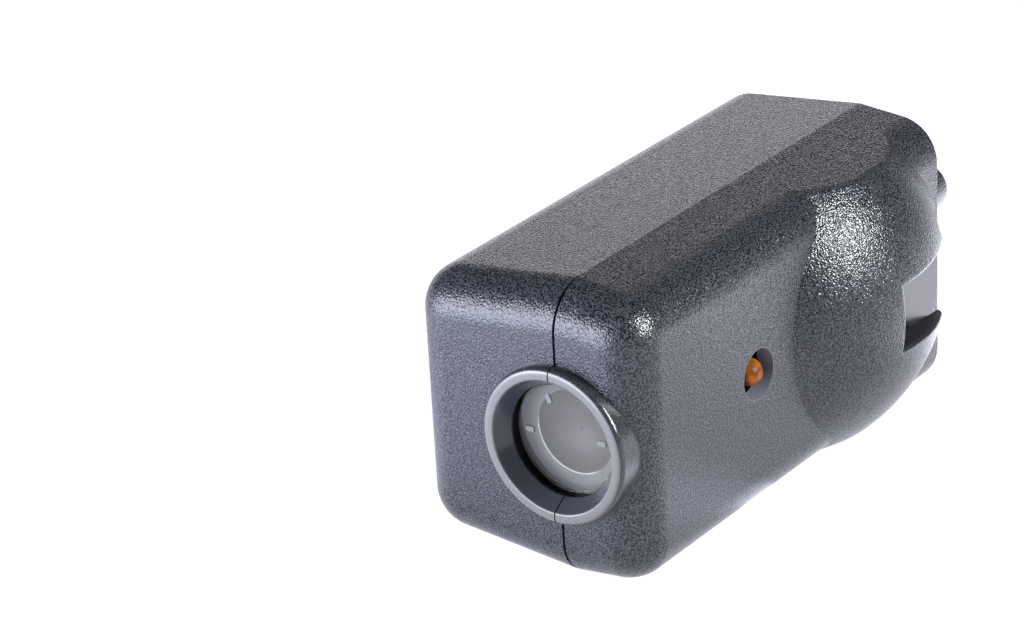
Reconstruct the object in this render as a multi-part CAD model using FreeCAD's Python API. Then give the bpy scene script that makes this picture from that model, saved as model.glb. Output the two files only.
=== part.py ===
import FreeCAD, Part
import math
import os

# Garage door safety sensor, the sending one of a pair: a two-part moulded housing with a round lens in front,
# an indicator lamp in its right side and a domed bolt slot behind that.
# Modelled from three datums: the parting plane is x = 0, the front face is y = 0 and mid-height is z = 0.
# X runs to the right-hand side, Y to the rear and Z up. The origin moves to the bolt seat at the end.

V = FreeCAD.Vector
TO_RIGHT = V(1, 0, 0)
TO_REAR = V(0, 1, 0)

# Housing
HEIGHT = 33.0               # from the top ridge to the bottom ridge, on the parting plane
LENGTH = 60.0               # front face to rear face
LEFT_WIDTH = 18.7           # parting plane to the left side
RIGHT_WIDTH = 9.85          # parting plane to the right side
ROOF_PITCH = 5.57           # degrees that roof and underside fall away from the ridges
EDGE_RADIUS = 4.85          # long outer edges and front edges
REAR_EDGE_RADIUS = 0.5      # edges round the rear face
WALL = 2.0                  # thickness of the moulded walls
LEAST_RADIUS = 0.4          # inside edges are never sharper than this
SEAM_WIDTH = 0.3            # groove where the two halves meet in front
SEAM_DEPTH = 0.6
RING_SEAM_WIDTH = 0.16      # the same groove where it crosses the lens ring
RING_SEAM_DEPTH = 0.3

# Lens ring and lens
LENS_RISE = -0.25           # lens axis above mid-height
RING_RADIUS = 8.75
RING_PROUD = 1.35           # how far the ring stands in front of the front face
RING_ROUND = 0.7            # outer edge of the ring's lip
LIP_RADIUS = 7.45           # mouth of the ring
LIP_ROUND = 0.3             # inner edge of the ring's lip
MOUTH_LENGTH = 1.8          # lip of the ring to the narrow end of its mouth
APERTURE_RADIUS = 6.3       # narrow end of the mouth
APERTURE_EDGE = 0.3         # length of the narrow end
BARREL_BORE_RADIUS = 7.0    # bore behind the mouth
LENS_RADIUS = 6.2
LENS_RECESS = 2.65          # lip of the ring to the lens front
LENS_STEP = 1.88            # lens front to its flange
LENS_BEVEL = 0.3
FLANGE_RADIUS = 7.7
FLANGE_LENGTH = 1.2
LENS_CURVE = 6.5            # radius of the convex back
LENS_CURVE_REACH = 4.65     # radius of the convex back's edge
LENS_FIT = 0.05             # clearance of the flange in its groove
BARREL_TAIL = 1.75          # barrel behind the lens groove
LENS_MARK_ANGLES = (6, 116, 180)    # degrees up from the right, for the moulded marks on the lens front
LENS_MARK_REACH = 5.0       # lens axis to the outer end of a mark
LENS_MARK_LENGTH = 1.0
LENS_MARK_WIDTH = 0.6
LENS_MARK_HEIGHT = 0.1

# Domed bolt slot
AXIS_RISE = 0.6             # bolt and indicator above mid-height
DOME_RADIUS = 21.1
DOME_RISE = 6.65            # how far the dome stands off the right side
DOME_SETBACK = 15.4         # dome centre to the rear face
DOME_EDGE_RADIUS = 1.2      # where the dome is trimmed along roof and underside
SLOT_WIDTH = 7.2            # for a 6.35 mm bolt with a square neck
SLOT_FLARE = 2.2            # degrees that each side of the slot opens towards the rear
SLOT_LEAD = 2.6             # closed end of the slot in front of the dome centre
SLOT_ROUND = 0.5            # outer edges of the slot
LIP_LENGTH = 11.6           # closed end of the slot to the rear end of its lips
HEAD_WIDTH = 14.6           # for the bolt's round head
HEAD_DEPTH = 3.45           # the head's room behind the lips

# Rear face
NUB_INSET = 3.4             # nub centre from the right side
NUB_RISE = 6.6              # nub centre above mid-height
NUB_BASE_RADIUS = 3.1
NUB_TIP_RADIUS = 2.6
NUB_LENGTH = 3.6
NUB_ROUND = 0.8             # edge of the nub's end
INLET_RADIUS = 2.0          # hole for the two-core wire, in the left half
INLET_OFFSET = 4.0          # its centre from the parting plane

# Indicator lamp
INDICATOR_SETBACK = 22.4    # front face to the lamp axis
INDICATOR_HOLE_RADIUS = 2.86
INDICATOR_PROUD = 0.25      # how far the lamp tip stands off the right side
INDICATOR_RADIUS = 1.5
INDICATOR_LENGTH = 5.0
INDICATOR_FLANGE_RADIUS = 1.9
INDICATOR_FLANGE_LENGTH = 1.0
SPACER_RADIUS = 2.5

# Infrared emitter and its holder
EMITTER_TIP = 2.9           # apex of the lens back to the emitter tip
EMITTER_RADIUS = 2.5
EMITTER_LENGTH = 8.6
EMITTER_FLANGE_RADIUS = 2.9
EMITTER_FLANGE_LENGTH = 1.0
HOLDER_FIT = 0.1            # clearance in the barrel and round the emitter
HOLDER_WALL = 1.4
HOLDER_SPIGOT_WALL = 0.7
HOLDER_COLLAR_STEP = 1.5    # collar over the spigot
HOLDER_COLLAR_LENGTH = 1.0
HOLDER_CONE_LENGTH = 3.4
HOLDER_FOOT_WIDTH = 3.0
HOLDER_FOOT_LENGTH = 4.0

# Circuit board on its four posts
BOARD_SETBACK = 7.0         # parting plane to the face that carries the components
BOARD_THICKNESS = 1.6
BOARD_MARGIN = 3.5          # post axis to the board's ends
BOARD_SIDE_MARGIN = 2.0     # post axis to the board's long edges
POST_FRONT = 15.0           # front face to the front posts
POST_REAR = 11.0            # rear face to the rear posts
POST_SPREAD = 20.0          # between the upper and lower posts
POST_RADIUS = 2.5
PEG_RADIUS = 0.9            # pegs of the left posts, through the board into the right posts
PEG_LENGTH = 4.6
PEG_FIT = 0.1

# Components
LEAD_RADIUS = 0.25
LEAD_PITCH = 2.54
LEAD_BEND = 0.8             # centre-line radius of a bent lead
LEAD_HOLE_FIT = 0.2         # clearance of a lead in its hole
LEAD_TAIL = 1.2             # leads beyond the board's far face
CHIP_LENGTH = 9.6
CHIP_WIDTH = 6.4
CHIP_HEIGHT = 3.3
CHIP_STANDOFF = 0.5
CHIP_NOTCH_RADIUS = 1.0
CHIP_NOTCH_DEPTH = 0.5
CHIP_ROW_SPACING = 7.62
CHIP_PIN_THICKNESS = 0.25
CHIP_PIN_WIDTH = 0.46
CHIP_SHOULDER_WIDTH = 1.4
CHIP_PINS_PER_ROW = 4
TRANSISTOR_RADIUS = 2.3
TRANSISTOR_FLAT = 1.3       # axis to the flat side
TRANSISTOR_HEIGHT = 4.6
TRANSISTOR_STANDOFF = 2.0
TRANSISTOR_PITCH = 1.27
TRANSISTOR_LEAD_COUNT = 3
CAN_RADIUS = 4.0
CAN_HEIGHT = 11.5
CAN_CRIMP = 1.6             # base to the rolled groove
CAN_CRIMP_DEPTH = 0.4
CAN_PITCH = 3.5
DISC_RADIUS = 2.2
DISC_THICKNESS = 2.4
DISC_ROUND = 0.8
DISC_STANDOFF = 0.6
RESISTOR_RADIUS = 0.9
RESISTOR_WAIST = 0.75
RESISTOR_LENGTH = 3.6
RESISTOR_CAP = 0.8          # length of each thick end
DIODE_RADIUS = 1.0
DIODE_LENGTH = 4.0
AXIAL_PITCH = 7.62          # between the two holes of a resistor or diode
AXIAL_STANDOFF = 0.3
TERMINAL_RADIUS = 0.6
TERMINAL_HEIGHT = 4.5
TERMINAL_SPACING = 5.0
TERMINAL_SETBACK = 3.0      # terminal posts in front of the board's rear end

# Places of the components near the front: behind the front posts, and up from mid-height
DRIVER_PLACE = (5.0, 7.0)
FRONT_DISC_PLACE = (10.0, 6.4)
FRONT_DIODE_PLACE = (1.6, -4.6)
FRONT_RESISTOR_PLACES = ((7.2, 10.6), (7.2, -10.6))

# Places of the components near the rear: in front of the rear posts, and up from mid-height
CHIP_PLACE = (13.8, -5.2)
REGULATOR_PLACE = (4.5, 6.6)
CAN_PLACE = (4.4, -4.8)
REAR_DISC_PLACE = (5.4, 1.8)
REAR_DIODE_PLACE = (11.7, 6.7)
REAR_RESISTOR_PLACES = ((7.0, 10.6), (7.0, -10.6), (11.7, 3.0))

# Worked out from the sizes above
ROOF_SLOPE = math.tan(math.radians(ROOF_PITCH))
WALL_RISE = WALL / math.cos(math.radians(ROOF_PITCH))
LEFT, RIGHT = -1, 1
BEYOND = 2.0                # how far cutting tools reach past what they cut
TOUCH = 1e-4                # tolerance when edges are picked by their place

MOUTH_END = MOUTH_LENGTH - RING_PROUD
LENS_FRONT = LENS_RECESS - RING_PROUD
FLANGE_FRONT = LENS_FRONT + LENS_STEP
FLANGE_BACK = FLANGE_FRONT + FLANGE_LENGTH
BARREL_END = FLANGE_BACK + BARREL_TAIL
LENS_SAG = LENS_CURVE - math.sqrt(LENS_CURVE ** 2 - LENS_CURVE_REACH ** 2)
LENS_APEX = FLANGE_BACK + LENS_SAG

DOME_CENTRE = V(RIGHT_WIDTH + DOME_RISE - DOME_RADIUS, LENGTH - DOME_SETBACK, AXIS_RISE)
SLOT_END = DOME_CENTRE.y - SLOT_LEAD
LIP_END = SLOT_END + LIP_LENGTH
LIP_FLOOR = RIGHT_WIDTH + HEAD_DEPTH
BOLT_Y = SLOT_END + SLOT_WIDTH / 2
BOLT_SEAT = V(RIGHT_WIDTH, BOLT_Y, AXIS_RISE)

BOARD_FACE = -BOARD_SETBACK
BOARD_BACK = BOARD_FACE - BOARD_THICKNESS
POST_ROWS = (POST_FRONT, LENGTH - POST_REAR)
POST_PLACES = [(y, side * POST_SPREAD / 2) for y in POST_ROWS for side in (-1, 1)]
BOARD_FRONT_END = POST_ROWS[0] - BOARD_MARGIN
BOARD_REAR_END = POST_ROWS[1] + BOARD_MARGIN
BOARD_HALF_HEIGHT = POST_SPREAD / 2 + BOARD_SIDE_MARGIN
LEAD_END = BOARD_BACK - LEAD_TAIL

EMITTER_FRONT = LENS_APEX + EMITTER_TIP
EMITTER_BACK = EMITTER_FRONT + EMITTER_LENGTH
HOLDER_END = EMITTER_BACK - EMITTER_FLANGE_LENGTH
EMITTER_LEAD_ROW = EMITTER_BACK + LEAD_BEND + LEAD_RADIUS + 2 * HOLDER_FIT

INDICATOR_TIP = RIGHT_WIDTH + INDICATOR_PROUD
INDICATOR_BASE = INDICATOR_TIP - INDICATOR_LENGTH
TERMINAL_ROW = BOARD_REAR_END - TERMINAL_SETBACK


def from_front_posts(place):
    """Turns a place behind the front posts into its y and z."""
    return POST_ROWS[0] + place[0], place[1]


def from_rear_posts(place):
    """Turns a place in front of the rear posts into its y and z."""
    return POST_ROWS[1] - place[0], place[1]


DRIVER_SPOT = from_front_posts(DRIVER_PLACE)
REGULATOR_SPOT = from_rear_posts(REGULATOR_PLACE)
CHIP_SPOT = from_rear_posts(CHIP_PLACE)
CAN_SPOT = from_rear_posts(CAN_PLACE)
DISC_SPOTS = [from_front_posts(FRONT_DISC_PLACE), from_rear_posts(REAR_DISC_PLACE)]
DIODE_SPOTS = [from_front_posts(FRONT_DIODE_PLACE), from_rear_posts(REAR_DIODE_PLACE)]
RESISTOR_SPOTS = [from_front_posts(place) for place in FRONT_RESISTOR_PLACES]
RESISTOR_SPOTS += [from_rear_posts(place) for place in REAR_RESISTOR_PLACES]


def box(low, high):
    """A block between two corners."""
    return Part.makeBox(high.x - low.x, high.y - low.y, high.z - low.z, low)


def rod(radius, length, base, direction):
    """A round bar that starts at base."""
    return Part.makeCylinder(radius, length, base, direction)


def fillet(shape, radius, chosen):
    """Rounds the edges whose middle point passes the test."""
    edges = [edge for edge in shape.Edges if chosen(edge, edge.valueAt(sum(edge.ParameterRange) / 2))]
    return shape.makeFillet(radius, edges)


def fused(shapes):
    """Joins shapes that share material into one solid."""
    return shapes[0].multiFuse(shapes[1:]).removeSplitter()


def turned_on_lens_axis(profile):
    """Turns a closed profile of (radius, y) points about the lens axis. An arc's middle point is a triple."""
    corners = [V(point[0], point[1], LENS_RISE) for point in profile]
    edges = []
    count = len(profile)
    start = 0
    while start < count:
        following = (start + 1) % count
        if len(profile[following]) == 3:
            end = (start + 2) % count
            edges.append(Part.Arc(corners[start], corners[following], corners[end]).toShape())
            start += 2
        else:
            edges.append(Part.makeLine(corners[start], corners[following]))
            start += 1
    face = Part.Face(Part.Wire(edges))
    return face.revolve(V(0, 0, LENS_RISE), TO_REAR, 360)


def turned_along(base, direction, profile):
    """Turns a closed profile of (radius, height) points about an axis that starts at base."""
    corners = [V(radius, 0, height) for radius, height in profile]
    solid = Part.Face(Part.makePolygon(corners + corners[:1])).revolve(V(), V(0, 0, 1), 360)
    solid.Placement = FreeCAD.Placement(base, FreeCAD.Rotation(V(0, 0, 1), direction))
    return solid


def roof_height(x, inset=0.0):
    """Height of the roof above mid-height, or of the ceiling under it."""
    drop = inset / math.cos(math.radians(ROOF_PITCH))
    return HEIGHT / 2 - drop - abs(x) * ROOF_SLOPE


def between_roof_and_floor(near, far, front, rear, inset=0.0):
    """The prism under the roof and above the underside, between two x and two y planes."""
    corners = [V(near, front, roof_height(near, inset)), V(far, front, roof_height(far, inset)),
               V(far, front, -roof_height(far, inset)), V(near, front, -roof_height(near, inset))]
    return Part.Face(Part.makePolygon(corners + corners[:1])).extrude(V(0, rear - front, 0))


# Housing halves


def half_body(side, width, inset=0.0):
    """One half of the housing's outside, or its cavity when inset by the wall."""
    far = side * (width - inset)
    front, rear = inset, LENGTH - inset
    prism = between_roof_and_floor(0, far, front, rear, inset)

    def outer_edge(edge, middle):
        on_side = abs(middle.x - far) < TOUCH and abs(middle.y - (front + rear) / 2) < TOUCH
        on_front = abs(middle.y - front) < TOUCH and abs(middle.x) > TOUCH
        return on_side or on_front

    def rear_edge(edge, middle):
        return abs(middle.y - rear) < TOUCH and abs(middle.x) > TOUCH

    rounded = fillet(prism, max(EDGE_RADIUS - inset, LEAST_RADIUS), outer_edge)
    return rounded if inset else fillet(rounded, REAR_EDGE_RADIUS, rear_edge)


def side_of(side):
    """A block that holds everything on one side of the parting plane."""
    reach = 2 * max(HEIGHT, LENGTH, LEFT_WIDTH, RIGHT_WIDTH)
    return box(V(min(0, side * reach), -reach, -reach), V(max(0, side * reach), reach, reach))


def lens_barrel():
    """The lens ring and the barrel behind it, still without its bore."""
    profile = [(0, -RING_PROUD), (RING_RADIUS, -RING_PROUD), (RING_RADIUS, BARREL_END), (0, BARREL_END)]
    return fillet(turned_on_lens_axis(profile), RING_ROUND,
                  lambda edge, middle: abs(middle.y + RING_PROUD) < TOUCH and edge.Closed)


def lens_bore():
    """The room in the barrel: a conical mouth, the groove for the lens flange and the way to the emitter."""
    groove = FLANGE_RADIUS + LENS_FIT
    turn = math.atan2(MOUTH_LENGTH, LIP_RADIUS - APERTURE_RADIUS)
    start = LIP_RADIUS + LIP_ROUND * math.tan(turn / 2)

    def on_lip(angle):
        return start - LIP_ROUND * math.sin(angle), LIP_ROUND * (1 - math.cos(angle)) - RING_PROUD

    profile = [(0, -RING_PROUD - BEYOND), (start, -RING_PROUD - BEYOND), on_lip(0),
               (*on_lip(turn / 2), "arc"), on_lip(turn), (APERTURE_RADIUS, MOUTH_END),
               (APERTURE_RADIUS, MOUTH_END + APERTURE_EDGE), (BARREL_BORE_RADIUS, MOUTH_END + APERTURE_EDGE),
               (BARREL_BORE_RADIUS, FLANGE_FRONT - LENS_FIT), (groove, FLANGE_FRONT - LENS_FIT),
               (groove, FLANGE_BACK + LENS_FIT), (BARREL_BORE_RADIUS, FLANGE_BACK + LENS_FIT),
               (BARREL_BORE_RADIUS, BARREL_END + BEYOND), (0, BARREL_END + BEYOND)]
    return turned_on_lens_axis(profile)


def seam_groove(side, width):
    """The groove along the parting line, on the front face and its rounded edges and over the lens ring."""
    reach = HEIGHT
    skin = half_body(side, width).cut(half_body(side, width, SEAM_DEPTH))
    on_face = skin.common(box(V(-SEAM_WIDTH / 2, -BEYOND, -reach), V(SEAM_WIDTH / 2, EDGE_RADIUS, reach)))
    lip = V(0, -RING_PROUD, LENS_RISE)
    under_lip = V(0, -RING_PROUD + RING_SEAM_DEPTH, LENS_RISE)
    ring = rod(RING_RADIUS, RING_PROUD + LENS_FRONT, lip, TO_REAR)
    core = rod(RING_RADIUS - RING_SEAM_DEPTH, 2 * BARREL_END, under_lip, TO_REAR)
    core = core.cut(rod(LIP_RADIUS + RING_SEAM_DEPTH, 2 * BARREL_END, under_lip, TO_REAR))
    slit = box(V(-RING_SEAM_WIDTH / 2, -reach, -reach), V(RING_SEAM_WIDTH / 2, reach, reach))
    barrel = rod(RING_RADIUS, 2 * BARREL_END, lip, TO_REAR)
    return [on_face.cut(barrel), ring.cut(core).common(slit)]


def posts(side, wall_x):
    """The four posts that hold the board between the two halves."""
    seat = BOARD_BACK if side == LEFT else BOARD_FACE
    length = abs(wall_x - seat)
    return [rod(POST_RADIUS, length, V(seat, y, z), TO_RIGHT * side) for y, z in POST_PLACES]


def post_pegs(radius, length):
    """Pegs on the left posts, or with a larger radius the sockets that take them."""
    return [rod(radius, length, V(BOARD_BACK, y, z), TO_RIGHT) for y, z in POST_PLACES]


def left_shell():
    """The wide half of the housing, with the wire inlet in its rear wall."""
    outside = half_body(LEFT, LEFT_WIDTH)
    half_barrel = lens_barrel().common(side_of(LEFT))
    inside = half_body(LEFT, LEFT_WIDTH, WALL)
    supports = [post.common(outside) for post in posts(LEFT, -LEFT_WIDTH + WALL / 2)]
    shell = fused([outside.cut(inside), half_barrel] + supports)
    inlet_start = V(-INLET_OFFSET, LENGTH - WALL - BEYOND, 0)
    inlet = rod(INLET_RADIUS, WALL + 2 * BEYOND, inlet_start, TO_REAR)
    shell = shell.cut([lens_bore(), inlet] + seam_groove(LEFT, LEFT_WIDTH))
    return fused([shell] + post_pegs(PEG_RADIUS, PEG_LENGTH))


def dome():
    """The ball-shaped swelling round the bolt slot, trimmed flush with roof and underside."""
    far = RIGHT_WIDTH + DOME_RISE + BEYOND
    room = between_roof_and_floor(0, far, DOME_CENTRE.y - DOME_RADIUS, LENGTH - REAR_EDGE_RADIUS)
    ball = Part.makeSphere(DOME_RADIUS, DOME_CENTRE).common(room)

    def along_roof(edge, middle):
        on_roof = abs(abs(middle.z) - roof_height(middle.x)) < TOUCH
        return on_roof and isinstance(edge.Curve, Part.Circle)

    return fillet(ball, DOME_EDGE_RADIUS, along_roof)


def rearward_slot(half_width, near, far):
    """A slot that is round in front, about the bolt axis, and open to the rear."""
    rounded = rod(half_width, far - near, V(near, BOLT_Y, AXIS_RISE), TO_RIGHT)
    straight = box(V(near, BOLT_Y, AXIS_RISE - half_width), V(far, LENGTH, AXIS_RISE + half_width))
    return rounded.fuse(straight)


def neck_slot():
    """The room for the bolt's square neck between the lips, a little wider at the rear."""
    length = LENGTH - SLOT_END
    narrow = SLOT_WIDTH / 2
    wide = narrow + length * math.tan(math.radians(SLOT_FLARE))
    corners = [V(RIGHT_WIDTH, SLOT_END, AXIS_RISE - narrow), V(RIGHT_WIDTH, SLOT_END, AXIS_RISE + narrow),
               V(RIGHT_WIDTH, LENGTH, AXIS_RISE + wide), V(RIGHT_WIDTH, LENGTH, AXIS_RISE - wide)]
    return Part.Face(Part.makePolygon(corners + corners[:1])).extrude(TO_RIGHT * (DOME_RISE + BEYOND))


def slotted(dome_shape):
    """Cuts the neck slot into the dome, ends the lips and rounds the slot's outer edges."""
    behind_lips = box(V(LIP_FLOOR, LIP_END, AXIS_RISE - HEAD_WIDTH / 2),
                      V(RIGHT_WIDTH + DOME_RISE + BEYOND, LENGTH, AXIS_RISE + HEAD_WIDTH / 2))
    cut = dome_shape.cut([neck_slot(), behind_lips])

    def on_dome(edge, middle):
        at_surface = abs((middle - DOME_CENTRE).Length - DOME_RADIUS) < TOUCH
        in_slot = abs(middle.z - AXIS_RISE) < HEAD_WIDTH / 2 and middle.y > SLOT_END - TOUCH
        return at_surface and in_slot and middle.x > LIP_FLOOR + SLOT_ROUND

    return fillet(cut, SLOT_ROUND, on_dome)


def dome_core():
    """The dome is hollow from the inside, apart from the walls of the bolt slot."""
    near, far = RIGHT_WIDTH - 2 * WALL, RIGHT_WIDTH + DOME_RISE
    room = between_roof_and_floor(near, far, DOME_CENTRE.y - DOME_RADIUS, LENGTH - WALL, WALL)
    ball = Part.makeSphere(DOME_RADIUS - WALL, DOME_CENTRE).common(room)
    return ball.cut(rearward_slot(HEAD_WIDTH / 2 + WALL, near - BEYOND, far + BEYOND))


def right_shell():
    """The narrow half of the housing, with the indicator hole and the domed bolt slot."""
    nub_seat = V(RIGHT_WIDTH - NUB_INSET, LENGTH, NUB_RISE)
    nub = Part.makeCone(NUB_BASE_RADIUS, NUB_TIP_RADIUS, NUB_LENGTH, nub_seat, TO_REAR)
    nub = fillet(nub, NUB_ROUND, lambda edge, middle: abs(middle.y - LENGTH - NUB_LENGTH) < TOUCH)
    outside = fused([half_body(RIGHT, RIGHT_WIDTH), slotted(dome()), nub])
    half_barrel = lens_barrel().common(side_of(RIGHT))
    inside = half_body(RIGHT, RIGHT_WIDTH, WALL)
    supports = [post.common(outside) for post in posts(RIGHT, RIGHT_WIDTH + HEAD_DEPTH / 2)]
    hollow = outside.cut([inside, dome_core()])
    shell = fused([hollow, half_barrel] + supports)
    hole_start = V(RIGHT_WIDTH - WALL - BEYOND, INDICATOR_SETBACK, AXIS_RISE)
    lamp_hole = rod(INDICATOR_HOLE_RADIUS, WALL + 2 * BEYOND, hole_start, TO_RIGHT)
    sockets = post_pegs(PEG_RADIUS + PEG_FIT, PEG_LENGTH + 2 * PEG_FIT)
    head_room = rearward_slot(HEAD_WIDTH / 2, RIGHT_WIDTH, LIP_FLOOR)
    rooms = [lens_bore(), head_room, neck_slot(), lamp_hole]
    return shell.cut(rooms + sockets + seam_groove(RIGHT, RIGHT_WIDTH))


# Optics


def lens():
    """Plano-convex lens with a flange that the two halves trap, and three moulded marks on its front."""
    half_reach = LENS_CURVE_REACH / 2
    half_sag = LENS_CURVE - math.sqrt(LENS_CURVE ** 2 - half_reach ** 2)
    profile = [(0, LENS_FRONT), (LENS_RADIUS - LENS_BEVEL, LENS_FRONT),
               (LENS_RADIUS, LENS_FRONT + LENS_BEVEL), (LENS_RADIUS, FLANGE_FRONT),
               (FLANGE_RADIUS, FLANGE_FRONT), (FLANGE_RADIUS, FLANGE_BACK), (LENS_CURVE_REACH, FLANGE_BACK),
               (half_reach, LENS_APEX - half_sag, "arc"), (0, LENS_APEX)]
    body = turned_on_lens_axis(profile)
    marks = []
    for angle in LENS_MARK_ANGLES:
        mark = box(V(LENS_MARK_REACH - LENS_MARK_LENGTH, LENS_FRONT - LENS_MARK_HEIGHT, -LENS_MARK_WIDTH / 2),
                   V(LENS_MARK_REACH, LENS_FRONT + LENS_MARK_HEIGHT, LENS_MARK_WIDTH / 2))
        mark.rotate(V(), V(0, -1, 0), angle)
        mark.translate(V(0, 0, LENS_RISE))
        marks.append(mark)
    return fused([body] + marks)


def emitter_holder():
    """Tube that plugs into the barrel, carries the emitter on the lens axis and stands on the board."""
    spigot = BARREL_BORE_RADIUS - HOLDER_FIT
    bore = EMITTER_RADIUS + HOLDER_FIT
    tube = bore + HOLDER_WALL
    collar = spigot + HOLDER_COLLAR_STEP
    spigot_front = FLANGE_BACK + LENS_FIT
    cone_front = BARREL_END + HOLDER_COLLAR_LENGTH
    cone_end = cone_front + HOLDER_CONE_LENGTH
    mouth = spigot - HOLDER_SPIGOT_WALL
    profile = [(mouth, spigot_front), (spigot, spigot_front), (spigot, BARREL_END), (collar, BARREL_END),
               (collar, cone_front), (tube, cone_end), (tube, HOLDER_END), (bore, HOLDER_END),
               (bore, cone_end), (mouth, cone_front)]
    turned = turned_on_lens_axis(profile)
    foot_rear = HOLDER_END - HOLDER_WALL / 2
    foot = box(V(BOARD_FACE, foot_rear - HOLDER_FOOT_LENGTH, LENS_RISE - HOLDER_FOOT_WIDTH / 2),
               V(-tube + HOLDER_WALL / 2, foot_rear, LENS_RISE + HOLDER_FOOT_WIDTH / 2))
    beside = RIGHT_WIDTH - WALL - HOLDER_FIT
    flat = box(V(beside, 0, -HEIGHT), V(beside + HEIGHT, LENGTH, HEIGHT))
    return fused([turned, foot]).cut(flat)


def lamp(base, direction, radius, length, flange_radius, flange_length):
    """A lamp of the usual bullet shape: a flange, a round body and a domed tip."""
    flange = rod(flange_radius, flange_length, base, direction)
    body = rod(radius, length - radius, base, direction)
    tip = Part.makeSphere(radius, base + direction * (length - radius))
    return fused([flange, body, tip])


def ir_emitter():
    """Infrared lamp that faces the lens."""
    return lamp(V(0, EMITTER_BACK, LENS_RISE), V(0, -1, 0), EMITTER_RADIUS, EMITTER_LENGTH,
                EMITTER_FLANGE_RADIUS, EMITTER_FLANGE_LENGTH)


def indicator_led():
    """Amber lamp that shows in the hole in the right side."""
    return lamp(V(INDICATOR_BASE, INDICATOR_SETBACK, AXIS_RISE), TO_RIGHT, INDICATOR_RADIUS, INDICATOR_LENGTH,
                INDICATOR_FLANGE_RADIUS, INDICATOR_FLANGE_LENGTH)


def indicator_spacer():
    """Tube that carries the amber lamp off the board, with a way through it for each lead."""
    length = INDICATOR_BASE - BOARD_FACE
    body = rod(SPACER_RADIUS, length, V(BOARD_FACE, INDICATOR_SETBACK, AXIS_RISE), TO_RIGHT)
    way = LEAD_RADIUS + LEAD_HOLE_FIT
    return body.cut([rod(way, length, V(BOARD_FACE, y, z), TO_RIGHT) for y, z in indicator_holes()])


# Leads


def bent_lead(points):
    """A round wire along straight runs with an arc at each corner."""
    edges = []
    start = points[0]
    for before, corner, after in zip(points, points[1:], points[2:]):
        towards = (before - corner).normalize()
        onwards = (after - corner).normalize()
        first = corner + towards * LEAD_BEND
        last = corner + onwards * LEAD_BEND
        centre = first + onwards * LEAD_BEND
        middle = centre + (corner - centre).normalize() * LEAD_BEND
        edges.append(Part.makeLine(start, first))
        edges.append(Part.Arc(first, middle, last).toShape())
        start = last
    edges.append(Part.makeLine(start, points[-1]))
    outline = Part.Wire(Part.makeCircle(LEAD_RADIUS, points[0], points[1] - points[0]))
    return Part.Wire(edges).makePipeShell([outline], True, True)


def straight_leads(places, top):
    """Leads that run straight through the board from a component above it."""
    return [rod(LEAD_RADIUS, top - LEAD_END, V(LEAD_END, y, z), TO_RIGHT) for y, z in places]


def emitter_holes():
    return [(EMITTER_LEAD_ROW, LENS_RISE + side * LEAD_PITCH / 2) for side in (-1, 1)]


def indicator_holes():
    return [(INDICATOR_SETBACK, AXIS_RISE + side * LEAD_PITCH / 2) for side in (-1, 1)]


def emitter_leads():
    """Two leads that leave the emitter to the rear and turn down to the board."""
    return [bent_lead([V(0, EMITTER_BACK, z), V(0, y, z), V(LEAD_END, y, z)]) for y, z in emitter_holes()]


def indicator_leads():
    return straight_leads(indicator_holes(), INDICATOR_BASE)


# Board and components


def chip_holes():
    y, z = CHIP_SPOT
    rows = [y + (index - (CHIP_PINS_PER_ROW - 1) / 2) * LEAD_PITCH for index in range(CHIP_PINS_PER_ROW)]
    return [(row, z + side * CHIP_ROW_SPACING / 2) for row in rows for side in (-1, 1)]


def in_line_holes(spot, pitch, count):
    """Holes along the board, centred on a spot."""
    y, z = spot
    return [(y + (index - (count - 1) / 2) * pitch, z) for index in range(count)]


def across_holes(spot, pitch):
    """Two holes across the board, centred on a spot."""
    y, z = spot
    return [(y, z + side * pitch / 2) for side in (-1, 1)]


def terminal_places():
    return [(TERMINAL_ROW, side * TERMINAL_SPACING / 2) for side in (-1, 1)]


def lead_holes():
    """Every lead's hole in the board."""
    holes = emitter_holes() + indicator_holes() + chip_holes()
    for spot in (DRIVER_SPOT, REGULATOR_SPOT):
        holes += in_line_holes(spot, TRANSISTOR_PITCH, TRANSISTOR_LEAD_COUNT)
    holes += across_holes(CAN_SPOT, CAN_PITCH)
    for spot in DISC_SPOTS:
        holes += across_holes(spot, LEAD_PITCH)
    for spot in RESISTOR_SPOTS + DIODE_SPOTS:
        holes += in_line_holes(spot, AXIAL_PITCH, 2)
    return holes


def circuit_board():
    """The board, drilled for its pegs, its leads and the two terminal posts."""
    plate = box(V(BOARD_BACK, BOARD_FRONT_END, -BOARD_HALF_HEIGHT),
                V(BOARD_FACE, BOARD_REAR_END, BOARD_HALF_HEIGHT))
    drills = [(LEAD_RADIUS + LEAD_HOLE_FIT, place) for place in lead_holes()]
    drills += [(TERMINAL_RADIUS + PEG_FIT, place) for place in terminal_places()]
    drills += [(PEG_RADIUS + PEG_FIT, place) for place in POST_PLACES]
    holes = [rod(radius, BOARD_THICKNESS, V(BOARD_BACK, y, z), TO_RIGHT) for radius, (y, z) in drills]
    return plate.cut(holes)


def timer_chip():
    """Eight-pin chip that paces the light pulses, with a notch at its first end."""
    y, z = CHIP_SPOT
    base = BOARD_FACE + CHIP_STANDOFF
    body = box(V(base, y - CHIP_LENGTH / 2, z - CHIP_WIDTH / 2),
               V(base + CHIP_HEIGHT, y + CHIP_LENGTH / 2, z + CHIP_WIDTH / 2))
    notch_floor = V(base + CHIP_HEIGHT - CHIP_NOTCH_DEPTH, y - CHIP_LENGTH / 2, z)
    notch = rod(CHIP_NOTCH_RADIUS, CHIP_NOTCH_DEPTH, notch_floor, TO_RIGHT)
    return body.cut(notch)


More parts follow.
